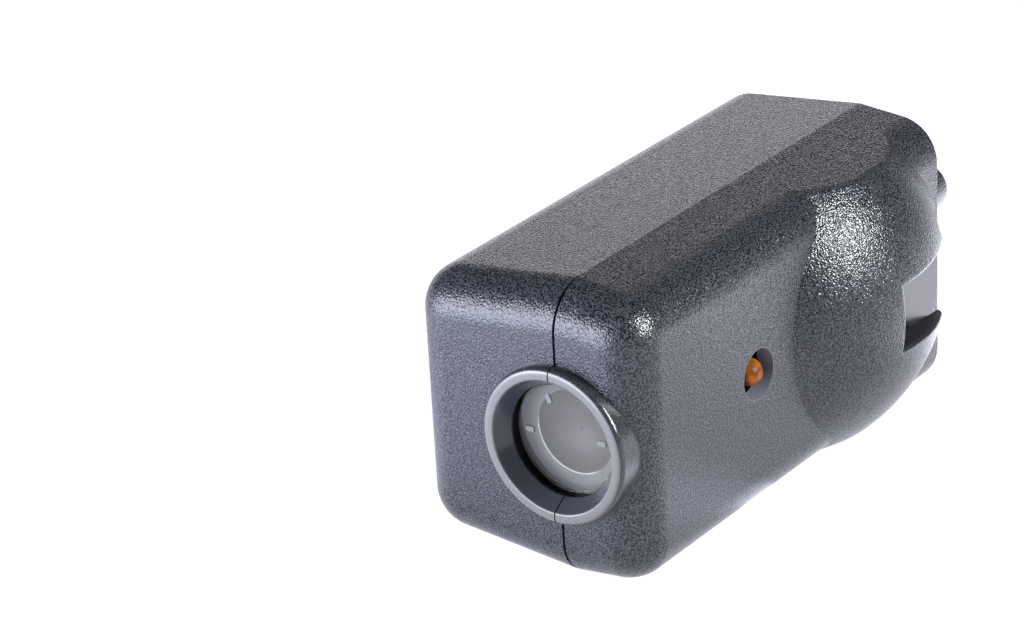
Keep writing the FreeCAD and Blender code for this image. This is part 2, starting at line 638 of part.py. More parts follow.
def chip_pins():
    """Flat pins that leave the chip's sides and turn down through the board."""
    middle_z = CHIP_SPOT[1]
    shoulder = BOARD_FACE + CHIP_STANDOFF + CHIP_HEIGHT / 2
    pins = []
    for y, z in chip_holes():
        outer = z + math.copysign(CHIP_PIN_THICKNESS / 2, z - middle_z)
        inner = z - math.copysign(CHIP_PIN_THICKNESS / 2, z - middle_z)
        flank = middle_z + math.copysign(CHIP_WIDTH / 2, z - middle_z)
        arm = box(V(shoulder - CHIP_PIN_THICKNESS, y - CHIP_SHOULDER_WIDTH / 2, min(flank, outer)),
                  V(shoulder, y + CHIP_SHOULDER_WIDTH / 2, max(flank, outer)))
        wide = box(V(BOARD_FACE + CHIP_STANDOFF, y - CHIP_SHOULDER_WIDTH / 2, min(inner, outer)),
                   V(shoulder, y + CHIP_SHOULDER_WIDTH / 2, max(inner, outer)))
        narrow = box(V(LEAD_END, y - CHIP_PIN_WIDTH / 2, min(inner, outer)),
                     V(shoulder, y + CHIP_PIN_WIDTH / 2, max(inner, outer)))
        pins.append(fused([arm, wide, narrow]))
    return pins


def three_lead_body(spot):
    """A half-round body on three leads in a row."""
    y, z = spot
    base = BOARD_FACE + TRANSISTOR_STANDOFF
    round_body = rod(TRANSISTOR_RADIUS, TRANSISTOR_HEIGHT, V(base, y, z), TO_RIGHT)
    flat = box(V(base, y - 2 * TRANSISTOR_RADIUS, z + TRANSISTOR_FLAT),
               V(base + TRANSISTOR_HEIGHT, y + 2 * TRANSISTOR_RADIUS, z + 2 * TRANSISTOR_RADIUS))
    return round_body.cut(flat)


def three_leads(spot):
    holes = in_line_holes(spot, TRANSISTOR_PITCH, TRANSISTOR_LEAD_COUNT)
    return straight_leads(holes, BOARD_FACE + TRANSISTOR_STANDOFF)


def storage_capacitor():
    """Round can that stands on the board, with a rolled groove above its base."""
    y, z = CAN_SPOT
    waist = CAN_RADIUS - CAN_CRIMP_DEPTH
    profile = [(0, 0), (CAN_RADIUS, 0), (CAN_RADIUS, CAN_CRIMP - CAN_CRIMP_DEPTH), (waist, CAN_CRIMP),
               (CAN_RADIUS, CAN_CRIMP + CAN_CRIMP_DEPTH), (CAN_RADIUS, CAN_HEIGHT - CAN_CRIMP_DEPTH),
               (waist, CAN_HEIGHT), (0, CAN_HEIGHT)]
    return turned_along(V(BOARD_FACE, y, z), TO_RIGHT, profile)


def capacitor_leads():
    return straight_leads(across_holes(CAN_SPOT, CAN_PITCH), BOARD_FACE)


def ceramic_capacitors():
    """Dipped discs that stand on edge."""
    discs = []
    for y, z in DISC_SPOTS:
        centre_x = BOARD_FACE + DISC_STANDOFF + DISC_RADIUS
        face = V(centre_x, y - DISC_THICKNESS / 2, z)
        disc = rod(DISC_RADIUS, DISC_THICKNESS, face, TO_REAR)
        discs.append(fillet(disc, DISC_ROUND, lambda edge, middle: edge.Closed))
    return discs


def ceramic_leads():
    """Leads that end on the rim of each disc."""
    leads = []
    for spot in DISC_SPOTS:
        leads += straight_leads(across_holes(spot, LEAD_PITCH), BOARD_FACE + DISC_STANDOFF + DISC_RADIUS)
    return [lead.cut(ceramic_capacitors()) for lead in leads]


def axial_height(radius):
    """Height of an axial component's centre line."""
    return BOARD_FACE + AXIAL_STANDOFF + radius


def resistors():
    """Resistors lying along the board, thicker at their ends."""
    made = []
    for y, z in RESISTOR_SPOTS:
        end = RESISTOR_LENGTH - RESISTOR_CAP
        slope = RESISTOR_RADIUS - RESISTOR_WAIST
        profile = [(0, 0), (RESISTOR_WAIST, 0), (RESISTOR_RADIUS, slope), (RESISTOR_RADIUS, RESISTOR_CAP),
                   (RESISTOR_WAIST, RESISTOR_CAP + slope), (RESISTOR_WAIST, end - slope),
                   (RESISTOR_RADIUS, end), (RESISTOR_RADIUS, RESISTOR_LENGTH - slope),
                   (RESISTOR_WAIST, RESISTOR_LENGTH), (0, RESISTOR_LENGTH)]
        base = V(axial_height(RESISTOR_RADIUS), y - RESISTOR_LENGTH / 2, z)
        made.append(turned_along(base, TO_REAR, profile))
    return made


def rectifier_diodes():
    """Plain round diodes lying along the board."""
    made = []
    for y, z in DIODE_SPOTS:
        base = V(axial_height(DIODE_RADIUS), y - DIODE_LENGTH / 2, z)
        made.append(rod(DIODE_RADIUS, DIODE_LENGTH, base, TO_REAR))
    return made


def axial_leads(spots, radius, length):
    """Two leads for each axial component, turned down through the board."""
    leads = []
    for y, z in spots:
        height = axial_height(radius)
        for side in (-1, 1):
            hole = y + side * AXIAL_PITCH / 2
            end = V(height, y + side * length / 2, z)
            leads.append(bent_lead([end, V(height, hole, z), V(LEAD_END, hole, z)]))
    return leads


def wire_terminals():
    """Two posts that the wire is soldered to."""
    length = BOARD_FACE + TERMINAL_HEIGHT - LEAD_END
    return [rod(TERMINAL_RADIUS, length, V(LEAD_END, y, z), TO_RIGHT) for y, z in terminal_places()]


PIECES = {
    "left_shell": left_shell,
    "right_shell": right_shell,
    "lens": lens,
    "emitter_holder": emitter_holder,
    "ir_emitter": ir_emitter,
    "emitter_leads": emitter_leads,
    "indicator_led": indicator_led,
    "indicator_leads": indicator_leads,
    "indicator_spacer": indicator_spacer,
    "circuit_board": circuit_board,
    "timer_chip": timer_chip,
    "chip_pins": chip_pins,
    "driver_transistor": lambda: three_lead_body(DRIVER_SPOT),
    "driver_leads": lambda: three_leads(DRIVER_SPOT),
    "voltage_regulator": lambda: three_lead_body(REGULATOR_SPOT),
    "regulator_leads": lambda: three_leads(REGULATOR_SPOT),
    "storage_capacitor": storage_capacitor,
    "capacitor_leads": capacitor_leads,
    "ceramic_capacitors": ceramic_capacitors,
    "ceramic_leads": ceramic_leads,
    "resistors": resistors,
    "resistor_leads": lambda: axial_leads(RESISTOR_SPOTS, RESISTOR_RADIUS, RESISTOR_LENGTH),
    "rectifier_diodes": rectifier_diodes,
    "diode_leads": lambda: axial_leads(DIODE_SPOTS, DIODE_RADIUS, DIODE_LENGTH),
    "wire_terminals": wire_terminals,
}

os.makedirs("parts", exist_ok=True)
for name, make in PIECES.items():
    made = make()
    shape = Part.makeCompound(made) if isinstance(made, list) else made
    shape.translate(BOLT_SEAT * -1)
    shape.exportStep(f"parts/{name}.step")
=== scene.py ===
"""Finishes, studio and camera for a garage door safety sensor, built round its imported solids."""
import math

import bmesh
import bpy
from bpy.props import FloatProperty, FloatVectorProperty, PointerProperty
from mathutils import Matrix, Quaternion, Vector


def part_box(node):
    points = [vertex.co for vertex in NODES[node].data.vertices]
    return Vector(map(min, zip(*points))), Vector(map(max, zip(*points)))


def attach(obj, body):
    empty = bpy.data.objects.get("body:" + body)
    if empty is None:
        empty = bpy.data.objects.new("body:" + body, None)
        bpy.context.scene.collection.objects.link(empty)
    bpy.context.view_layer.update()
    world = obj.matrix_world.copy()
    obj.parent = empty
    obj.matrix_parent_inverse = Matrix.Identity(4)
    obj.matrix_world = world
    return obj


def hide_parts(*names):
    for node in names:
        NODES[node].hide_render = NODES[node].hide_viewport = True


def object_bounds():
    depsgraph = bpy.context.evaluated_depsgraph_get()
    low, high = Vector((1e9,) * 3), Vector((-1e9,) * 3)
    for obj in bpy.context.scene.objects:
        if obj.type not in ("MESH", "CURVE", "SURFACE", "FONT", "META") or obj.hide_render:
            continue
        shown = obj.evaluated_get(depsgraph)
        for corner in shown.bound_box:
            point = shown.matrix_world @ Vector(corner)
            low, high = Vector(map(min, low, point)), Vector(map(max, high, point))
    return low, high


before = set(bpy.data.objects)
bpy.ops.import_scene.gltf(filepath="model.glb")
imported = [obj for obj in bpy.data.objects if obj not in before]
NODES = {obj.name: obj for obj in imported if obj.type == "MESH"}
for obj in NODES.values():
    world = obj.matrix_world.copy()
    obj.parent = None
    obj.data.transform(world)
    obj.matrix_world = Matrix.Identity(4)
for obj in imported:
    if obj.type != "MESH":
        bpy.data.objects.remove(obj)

CAD_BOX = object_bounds()

bl_info = {
    "name": "Door Sensor Finishes",
    "version": (1, 0, 0),
    "blender": (4, 5, 0),
    "location": "View3D > Sidebar > Sensor",
    "description": "Moulded housing, lens, lamp and inner pieces of a garage door safety sensor",
    "category": "Object",
}

MM = 0.001

# Where things are, from the frame
LENS_LOW, LENS_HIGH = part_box("lens")
LENS_AXIS = (LENS_LOW + LENS_HIGH) / 2
LAMP_LOW, LAMP_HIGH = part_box("indicator_led")
LAMP_AXIS = (LAMP_LOW + LAMP_HIGH) / 2
FLOOR_Z = CAD_BOX[0].z

# Sizes that the solids also have
RING_RADIUS = 8.75 * MM
LIP_RADIUS = 7.45 * MM
LAMP_HOLE_RADIUS = 2.86 * MM
DOME_CENTRE = Vector((-14.45, -1.0, 0.0)) * MM
DOME_RADIUS = 21.1 * MM
LENS_MARK_HEIGHT = 0.1 * MM
LENS_BEVEL = 0.3 * MM
LENS_CURVE_REACH = 4.65 * MM

# Where a finish starts and where it is full, along one axis
RING_ZONE_Y = (-20 * MM, -25 * MM)
LAMP_HOLE_ZONE_X = (-4 * MM, -3 * MM)
BOLT_SLOT_ZONE_X = (-0.1 * MM, -0.05 * MM)

# Colours that don't follow the colours a user sets: a painted sheen for the ring's lip, a painted highlight for
# the lens's curve and the colour of the lens's marks
RING_LIP_PAINTED_SHEEN = (0.14, 0.133, 0.125)
LENS_CURVE_HIGHLIGHT = (0.9, 0.9, 0.9)
LENS_MARK_TINT = (0.1, 0.1, 0.1)

# How meshes are joined, sorted and shaded
MERGE_DISTANCE = 0.0005 * MM
FACE_TOLERANCE = 0.01 * MM
SHARP_ANGLE = math.radians(28)

# From the floor's middle to its sides, in metres
FLOOR_REACH = 3.0

# Bright parts of the floor, one over another: azimuth and spread in degrees, the distances from the object's
# middle at which each starts and is full, and its light
# Most start some centimetres out, so that close round the object the floor keeps a dimmer glow: a painted
# shadow round it, which shows in the object's reflections
FLOOR_LIGHTS = (
    (-30, 32, 0.03, 0.06, (2.0, 2.1, 2.6)),     # before the front
    (-30, 32, 0.09, 0.16, (6.4, 7.0, 9.2)),     # further out before the front
    (150, 28, 0.03, 0.05, (3.4, 3.4, 3.9)),     # behind the dome
    (150, 44, 0.08, 0.12, (0.9, 0.9, 0.95)),    # dim again further out
    (62, 14, 0.045, 0.028, (1.9, 1.9, 2.3)),    # close to the right front edge
)


# Shader sums


class Wire:
    """A value socket that takes part in sums; each sum adds its own Math node."""

    def __init__(self, socket):
        self.socket = socket

    def sum(self, operation, first, second=None):
        """One Math node on one or two values or wires."""
        tree = self.socket.id_data
        made = tree.nodes.new("ShaderNodeMath")
        made.operation = operation
        for place, term in zip(made.inputs, (first, second)):
            if isinstance(term, Wire):
                tree.links.new(term.socket, place)
            elif term is not None:
                place.default_value = term
        return Wire(made.outputs[0])

    def __add__(self, other):
        return self.sum("ADD", self, other)

    def __radd__(self, other):
        return self.sum("ADD", other, self)

    def __sub__(self, other):
        return self.sum("SUBTRACT", self, other)

    def __rsub__(self, other):
        return self.sum("SUBTRACT", other, self)

    def __mul__(self, other):
        return self.sum("MULTIPLY", self, other)

    def __rmul__(self, other):
        return self.sum("MULTIPLY", other, self)

    def __truediv__(self, other):
        return self.sum("DIVIDE", self, other)

    def __rtruediv__(self, other):
        return self.sum("DIVIDE", other, self)

    def __abs__(self):
        return self.sum("ABSOLUTE", self)

    def root(self):
        return self.sum("SQRT", self)

    def sine(self):
        return self.sum("SINE", self)

    def most(self, other):
        return self.sum("MAXIMUM", self, other)


class Finish:
    """A material and the nodes that make it."""

    def __init__(self, name):
        self.material = bpy.data.materials.new(name)
        self.material.use_nodes = True
        self.tree = self.material.node_tree
        self.tree.nodes.clear()
        self.place = self.node("TexCoord", out="Object")

    def node(self, kind, settings=None, inputs=None, out=0):
        """Adds a node: its settings first, then the values and links of its sockets. Gives one output."""
        made = self.tree.nodes.new("ShaderNode" + kind)
        for key, value in (settings or {}).items():
            setattr(made, key, value)
        for key, value in (inputs or {}).items():
            if isinstance(value, Wire):
                self.tree.links.new(value.socket, made.inputs[key])
            else:
                made.inputs[key].default_value = value
        return Wire(made.outputs[out]) if len(made.outputs) else None

    def noise(self, grain, detail):
        """Cloudy noise whose blotches are about one grain wide, from 0 to 1."""
        return self.node("TexNoise", {"noise_dimensions": "3D"},
                         {"Vector": self.place, "Scale": 1 / grain, "Detail": detail}, out="Fac")

    def pebbles(self, grain, warp, smoothness):
        """Distance to scattered points about one grain apart, in a space that is bent by a share of a grain."""
        bend = self.node("TexNoise", {"noise_dimensions": "3D"},
                         {"Vector": self.place, "Scale": 1 / grain, "Detail": 0.0}, out="Color")
        centred = self.node("VectorMath", {"operation": "SUBTRACT"}, {0: bend, 1: (0.5, 0.5, 0.5)})
        bent = self.node("VectorMath", {"operation": "MULTIPLY_ADD"},
                         {0: centred, 1: (warp * grain,) * 3, 2: self.place})
        return self.node("TexVoronoi", {"feature": "SMOOTH_F1"},
                         {"Vector": bent, "Scale": 1 / grain, "Smoothness": smoothness}, out="Distance")

    def step(self, value, low, high):
        """0 below low, 1 above high and a smooth rise between; falls instead if low is the larger."""
        return self.node("MapRange", {"interpolation_type": "SMOOTHSTEP"},
                         {"Value": value, "From Min": low, "From Max": high, "To Min": 0.0, "To Max": 1.0})

    def axes(self):
        """The three object coordinates, in metres."""
        split = self.node("SeparateXYZ", None, {"Vector": self.place}, out="X").socket.node
        return [Wire(socket) for socket in split.outputs]

    def mix(self, share, first, second):
        """A colour between two colours."""
        return self.node("Mix", {"data_type": "RGBA"}, {0: share, 6: first, 7: second}, out=2)

    def distance(self, centre, *axes):
        """Distance from a point, along the given axes only."""
        squares = [(axis - centre[place]) * (axis - centre[place]) for place, axis in axes]
        return sum(squares[1:], squares[0]).root()

    def bump(self, height, depth):
        """Relief of a given depth in metres."""
        return self.node("Bump", None, {"Height": height, "Distance": depth, "Strength": 1.0})

    def surface(self, inputs):
        """Ends the material in one Principled shader."""
        self.node("OutputMaterial", None, {"Surface": self.node("BsdfPrincipled", None, inputs)})
        return self.material


def rgba(colour):
    """A colour with full alpha."""
    return (*colour, 1.0)


# What a user would change


class SensorFinishes(bpy.types.PropertyGroup):
    """Colours and grain of the sensor."""

    housing_colour: FloatVectorProperty(
        name="Housing", description="Colour of the moulded plastic", subtype="COLOR", size=3,
        min=0.0, max=1.0, default=(0.015, 0.0155, 0.019))
    grain_size: FloatProperty(
        name="Grain Size", description="Width of one grain of the moulded texture", subtype="DISTANCE",
        unit="LENGTH", default=0.22 * MM)
    grain_depth: FloatProperty(
        name="Grain Depth", description="Depth of the moulded texture", subtype="DISTANCE",
        unit="LENGTH", default=0.05 * MM)
    lens_colour: FloatVectorProperty(
        name="Lens", description="Colour behind the clear lens front", subtype="COLOR", size=3,
        min=0.0, max=1.0, default=(0.14, 0.128, 0.105))
    # Painted light: a paler colour for the lens outside the reach of its curved back, making up for the shade
    # that the bore casts there
    lens_rim_painted_light: FloatVectorProperty(
        name="Lens Edge", description="Colour of the lens round its side", subtype="COLOR", size=3,
        min=0.0, max=1.0, default=(0.19, 0.183, 0.172))
    lamp_colour: FloatVectorProperty(
        name="Lamp", description="Tint of the indicator lamp", subtype="COLOR", size=3,
        min=0.0, max=1.0, default=(0.225, 0.062, 0.002))


class SensorStage(bpy.types.PropertyGroup):
    """Studio and camera."""

    floor_colour: FloatVectorProperty(
        name="Floor", description="Colour of the plain floor", subtype="COLOR", size=3,
        min=0.0, max=1.0, default=(0.25, 0.25, 0.26))
    floor_glow: FloatVectorProperty(
        name="Floor Glow", description="Light that the floor gives off by itself", subtype="COLOR", size=3,
        min=0.0, soft_max=4.0, default=(0.88, 0.88, 1.0))
    surround: FloatProperty(
        name="Surround", description="Brightness of the dim studio round the object", default=0.08)
    camera_place: FloatVectorProperty(
        name="Camera", description="Where the camera stands", subtype="TRANSLATION", unit="LENGTH", size=3,
        default=(0.18905, -0.31328, 0.16305))
    camera_azimuth: FloatProperty(
        name="Azimuth", description="Camera direction round the object from the front", subtype="ANGLE",
        default=math.radians(37.303))
    camera_elevation: FloatProperty(
        name="Elevation", description="Camera direction above the horizon", subtype="ANGLE",
        default=math.radians(24.166))
    camera_roll: FloatProperty(
        name="Roll", description="Turn of the camera about its own axis", subtype="ANGLE",
        default=math.radians(-3.278))
    focal_length: FloatProperty(
        name="Focal Length", description="Lens of the camera in millimetres", unit="CAMERA", default=128.416)


# Finishes


def moulded_plastic(finishes):
    """Charcoal plastic with a fine leathery grain, smooth on the ring, in the lamp hole and in the slot."""
    finish = Finish("moulded_plastic")
    x, y, z = finish.axes()
    from_lens = finish.distance(LENS_AXIS, (0, x), (2, z))
    from_lamp = finish.distance(LAMP_AXIS, (1, y), (2, z))
    from_dome = finish.distance(DOME_CENTRE, (0, x), (1, y), (2, z))

    # Where the mould is smooth
    in_front = finish.step(y, *RING_ZONE_Y)
    at_ring = in_front * finish.step(from_lens, RING_RADIUS + 0.15 * MM, RING_RADIUS + 0.05 * MM)
    wall = at_ring * finish.step(from_lens, RING_RADIUS - 0.4 * MM, RING_RADIUS - 0.25 * MM)
    lip = at_ring * finish.step(from_lens, LIP_RADIUS - 0.2 * MM, LIP_RADIUS + 0.05 * MM) - wall
    mouth = at_ring - lip - wall
    in_hole = finish.step(from_lamp, LAMP_HOLE_RADIUS + 0.05 * MM, LAMP_HOLE_RADIUS)
    hole = in_hole * finish.step(x, *LAMP_HOLE_ZONE_X)
    in_dome = finish.step(from_dome, DOME_RADIUS - 0.05 * MM, DOME_RADIUS - 0.15 * MM)
    slot = in_dome * finish.step(x, *BOLT_SLOT_ZONE_X)
    grained = 1 - slot.most(hole).most(at_ring - lip * 0.3 - wall * 0.5)

    # Relief
    pebbles = finish.pebbles(finishes.grain_size, warp=0.9, smoothness=0.25)
    fine = finish.noise(finishes.grain_size * 0.85, detail=0.0)
    height = fine * 0.9 - pebbles * 0.7
    grain = finish.bump(height * (grained * 0.94 + 0.06), finishes.grain_depth)

    # Colour, with a painted highlight on the grain's tops and painted shade in its pits
    cloud = finish.noise(6 * MM, detail=3.0)
    light, middle, dark, pit_painted_shade = (rgba([c * share for c in finishes.housing_colour])
                                for share in (10, 2.8, 0.9, 0.3))
    painted_highlight_on_tops = finish.step(fine, 0.4, 0.68) * grained
    painted_shade_in_pits = finish.step(fine, 0.48, 0.28) * grained
    shade = finish.mix(painted_shade_in_pits, finish.mix(painted_highlight_on_tops, dark, middle), pit_painted_shade)
    # Painted light: the lamp hole's wall and, faintly, the ring's mouth are lightened towards the light tone
    shade = finish.mix(hole.most(mouth * 0.17), shade, light)
    # Painted sheen: the ring's smooth lip is half mixed towards a pale grey
    shade = finish.mix(lip * 0.5, shade, rgba(RING_LIP_PAINTED_SHEEN))
    rough = 0.19 + (cloud - 0.5) * 0.06 + slot * 0.1 + lip * 0.2
    return finish.surface({"Base Color": shade, "Roughness": rough, "Normal": grain,
                           "Coat Weight": (slot * 0.1).most(lip * 0.7).most(wall * 0.5),
                           "Coat Roughness": 0.3, "IOR": 1.4})


def clear_front():
    """Polished clear plastic of the lens front."""
    finish = Finish("clear_front")
    haze = finish.noise(1.5 * MM, detail=2.0)
    tint = finish.mix(haze, (0.90, 0.90, 0.90, 1), (0.94, 0.94, 0.94, 1))
    return finish.surface({"Base Color": tint, "Roughness": 0.02 + haze * 0.03, "Transmission Weight": 1.0,
                           "IOR": 1.5})


def milky_back(finishes):
    """The lens behind its clear front: warm grey, with painted light on its outer part, outside the reach of
    its curved back, and a painted highlight on the lower left of that curve.
    """
    finish = Finish("milky_back")
    x, y, z = finish.axes()
    from_lens = finish.distance(LENS_AXIS, (0, x), (2, z))
    haze = finish.noise(1.2 * MM, detail=2.0)
    grey = finish.mix(haze, rgba([c * 0.94 for c in finishes.lens_colour]),
                      rgba([c * 1.06 for c in finishes.lens_colour]))
    # Painted light outside the reach of the curved back, making up for the bore's shade
    rim = finish.step(from_lens, LENS_CURVE_REACH - 0.1 * MM, LENS_CURVE_REACH + 0.1 * MM)
    rim_lightened = finish.mix(rim, grey, rgba(finishes.lens_rim_painted_light))
    # Painted highlight: a pale thin ring where the lens's back curves, on its lower left only
    off_line = abs(from_lens - LENS_CURVE_REACH)
    below = finish.step((z - LENS_AXIS.z) + (x - LENS_AXIS.x) * 0.6, -1.5 * MM, -3.5 * MM)
    curve_highlight = finish.step(off_line, 0.12 * MM, 0.04 * MM) * below
    marks = finish.step(y, LENS_LOW.y + LENS_MARK_HEIGHT, LENS_LOW.y + LENS_MARK_HEIGHT * 0.8)
    highlighted = finish.mix(curve_highlight * 0.9, rim_lightened, rgba(LENS_CURVE_HIGHLIGHT))
    shade = finish.mix(marks, highlighted, rgba(LENS_MARK_TINT))
    return finish.surface({"Base Color": shade, "Roughness": 0.45 + haze * 0.1})


def amber_lamp(finishes):
    """Tinted, diffused lamp plastic."""
    finish = Finish("amber_lamp")
    haze = finish.noise(0.8 * MM, detail=3.0)
    tint = finish.mix(finish.step(haze, 0.3, 0.7), rgba([c * 0.4 for c in finishes.lamp_colour]),
                      rgba([c * 1.2 for c in finishes.lamp_colour]))
    return finish.surface({"Base Color": tint, "Roughness": 0.35 + haze * 0.2, "Transmission Weight": 0.1,
                           "IOR": 1.25})


def moulded_black():
    """Matt black plastic of the small inner mouldings."""
    finish = Finish("moulded_black")
    grain = finish.noise(0.18 * MM, detail=2.0)
    shade = finish.mix(grain, (0.012, 0.012, 0.013, 1), (0.026, 0.026, 0.028, 1))
    return finish.surface({"Base Color": shade, "Roughness": 0.42 + grain * 0.15,
                           "Normal": finish.bump(grain, 0.012 * MM)})


def clear_bluish():
    """Bluish clear lamp plastic."""
    finish = Finish("clear_bluish")
    haze = finish.noise(1.2 * MM, detail=2.0)
    tint = finish.mix(haze, (0.30, 0.33, 0.55, 1), (0.36, 0.39, 0.62, 1))
    return finish.surface({"Base Color": tint, "Roughness": 0.05 + haze * 0.05, "Transmission Weight": 0.8,
                           "IOR": 1.53})


def solder_resist():
    """Green board with the faint weave of its glass cloth."""
    finish = Finish("solder_resist")
    _, y, z = finish.axes()
    thread = 0.6 * MM
    weave = (y * (2 * math.pi / thread)).sine() * (z * (2 * math.pi / thread)).sine()
    cloud = finish.noise(4 * MM, detail=3.0)
    shade = finish.mix(cloud, (0.012, 0.09, 0.03, 1), (0.03, 0.17, 0.06, 1))
    return finish.surface({"Base Color": shade, "Roughness": 0.3 + cloud * 0.12,
                           "Normal": finish.bump(weave, 0.008 * MM)})


def tinned():
    """Dull tinned wire."""
    finish = Finish("tinned_wire")
    drawn = finish.noise(0.25 * MM, detail=3.0)
    shade = finish.mix(drawn, (0.55, 0.54, 0.52, 1), (0.74, 0.73, 0.71, 1))
    return finish.surface({"Base Color": shade, "Metallic": 1.0, "Roughness": 0.28 + drawn * 0.15})


def coated(name, dark, light, grain, roughness):
    """Dipped or lacquered coat with a slightly uneven surface."""
    finish = Finish(name)
    cloud = finish.noise(grain, detail=3.0)
    shade = finish.mix(cloud, rgba(dark), rgba(light))
    return finish.surface({"Base Color": shade, "Roughness": roughness + cloud * 0.12,
                           "Normal": finish.bump(cloud, 0.02 * MM)})


# Meshes


def smooth_copy(node, piece):
    """A merged, smooth-shaded copy of a solid that stands for it and rides with it."""
    mesh = bpy.data.meshes.new(piece)
    shape = bmesh.new()
    shape.from_mesh(NODES[node].data)
    bmesh.ops.remove_doubles(shape, verts=shape.verts, dist=MERGE_DISTANCE)
    for face in shape.faces:
        face.smooth = True
    for edge in shape.edges:
        edge.smooth = len(edge.link_faces) == 2 and edge.calc_face_angle(0.0) < SHARP_ANGLE
    shape.to_mesh(mesh)
    shape.free()
    made = bpy.data.objects.new(piece, mesh)
    bpy.context.scene.collection.objects.link(made)
    even = made.modifiers.new("even_normals", "WEIGHTED_NORMAL")
    even.mode = "FACE_AREA"
    even.keep_sharp = True
    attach(made, "root")
    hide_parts(node)
    return made


def dress(made, material):
    """Gives a piece its main material, in its first slot."""
    made.data.materials.clear()
    made.data.materials.append(material)


def dress_node(node, material):
    """Gives a solid that no piece replaces its material."""
    NODES[node].data.materials.clear()
    NODES[node].data.materials.append(material)


# Stage


def outward(azimuth, elevation):
    """Unit direction from the object: azimuth 0 is the front and a right angle is the right."""
    return Vector((math.sin(azimuth) * math.cos(elevation), -math.cos(azimuth) * math.cos(elevation),
                   math.sin(elevation)))


def lay_floor(stage):
    """A pale floor that gives off a little light, as a light table does."""
    mesh = bpy.data.meshes.new("floor")
    shape = bmesh.new()
    bmesh.ops.create_grid(shape, x_segments=1, y_segments=1, size=FLOOR_REACH)
    bmesh.ops.translate(shape, verts=shape.verts, vec=(0, 0, FLOOR_Z))
    shape.to_mesh(mesh)
    shape.free()
    floor = bpy.data.objects.new("floor", mesh)
    bpy.context.scene.collection.objects.link(floor)
    finish = Finish("pale_floor")
    x, y, _ = finish.axes()
    cloud = finish.noise(0.3, detail=2.0)
    shade = finish.mix(cloud, rgba([c * 0.99 for c in stage.floor_colour]), rgba(stage.floor_colour))
    centre = (CAD_BOX[0] + CAD_BOX[1]) / 2
    away = finish.distance(centre, (0, x), (1, y))
    glow = rgba(stage.floor_glow)
    for azimuth, spread, start, full, colour in FLOOR_LIGHTS:
        towards = outward(math.radians(azimuth), 0.0)
        ahead = ((x - centre.x) * towards.x + (y - centre.y) * towards.y) / away
        outer, inner = (math.cos(math.radians(spread * share)) for share in (1.3, 0.6))
        lit = finish.step(ahead, outer, inner)
        glow = finish.mix(lit * finish.step(away, start, full), glow, rgba(colour))
    mesh.materials.append(finish.surface({"Base Color": shade, "Roughness": 0.9, "Emission Color": glow,
                                          "Emission Strength": 1.0}))


def hang_light(name, azimuth, elevation, distance, width, height, brightness, colour):
    """A soft box of a given brightness that faces the object from a direction round it."""
    light = bpy.data.lights.new(name, "AREA")
    light.shape = "RECTANGLE"
    light.size = width
    light.size_y = height
    light.energy = brightness * math.pi * width * height
    light.color = colour
    hung = bpy.data.objects.new(name, light)
    bpy.context.scene.collection.objects.link(hung)
    towards = outward(math.radians(azimuth), math.radians(elevation))
    centre = (CAD_BOX[0] + CAD_BOX[1]) / 2
    hung.location = centre + towards * distance
    hung.rotation_mode = "QUATERNION"
    hung.rotation_quaternion = towards.to_track_quat("Z", "Y")


def hang_lights(stage):
    """A soft box on the right, low cards in front and behind, one for the rear top edge, a dim surround."""
    hang_light("key_box", azimuth=100, elevation=29, distance=0.6, width=0.12, height=0.19,
               brightness=112, colour=(0.96, 0.99, 1.0))
    hang_light("front_card", azimuth=-30, elevation=11, distance=0.7, width=0.80, height=0.28,
               brightness=17, colour=(0.92, 0.95, 1.08))
    hang_light("back_card", azimuth=-140, elevation=6, distance=0.8, width=0.70, height=0.15,
               brightness=2.5, colour=(1.0, 0.98, 1.0))
    hang_light("edge_card", azimuth=-160, elevation=40, distance=0.7, width=0.26, height=0.06,
               brightness=2.4, colour=(1.0, 0.99, 1.0))
    world = bpy.data.worlds.new("studio")
    bpy.context.scene.world = world
    world.use_nodes = True
    background = world.node_tree.nodes["Background"]
    background.inputs["Color"].default_value = (1, 1, 1, 1)
    background.inputs["Strength"].default_value = stage.surround
    bpy.context.scene.view_settings.view_transform = "Standard"


def place_camera(stage):
    """The camera at the photograph's viewing angle."""
    data = bpy.data.cameras.new("camera")
    data.sensor_fit = "HORIZONTAL"
    data.sensor_width = 36.0
    data.lens = stage.focal_length
    data.clip_start = 0.01
    data.clip_end = 20.0
    camera = bpy.data.objects.new("camera", data)
    bpy.context.scene.collection.objects.link(camera)
    camera.location = stage.camera_place
    camera.rotation_mode = "QUATERNION"
    aim = outward(stage.camera_azimuth, stage.camera_elevation).to_track_quat("Z", "Y")
    camera.rotation_quaternion = aim @ Quaternion((0, 0, 1), stage.camera_roll)
    bpy.context.scene.camera = camera


# Operators


class SENSOR_OT_housing(bpy.types.Operator):
    """Make the two halves of the moulded housing"""
    bl_idname = "sensor.housing"
    bl_label = "Housing"

    def execute(self, context):
        plastic = moulded_plastic(context.scene.sensor_finishes)
        for node, piece in (("left_shell", "housing_left"), ("right_shell", "housing_right")):
            dress(smooth_copy(node, piece), plastic)
        return {"FINISHED"}


class SENSOR_OT_lens(bpy.types.Operator):
    """Make the lens"""
    bl_idname = "sensor.lens"
    bl_label = "Lens"

    def execute(self, context):
        finishes = context.scene.sensor_finishes
        lens = smooth_copy("lens", "front_lens")
        dress(lens, milky_back(finishes))
        lens.data.materials.append(clear_front())
        front = LENS_LOW.y + LENS_MARK_HEIGHT
        for face in lens.data.polygons:
            face.material_index = int(front - FACE_TOLERANCE < face.center.y < front + LENS_BEVEL)
        if not any(face.material_index for face in lens.data.polygons):
            raise RuntimeError("the lens has no clear front")
        return {"FINISHED"}


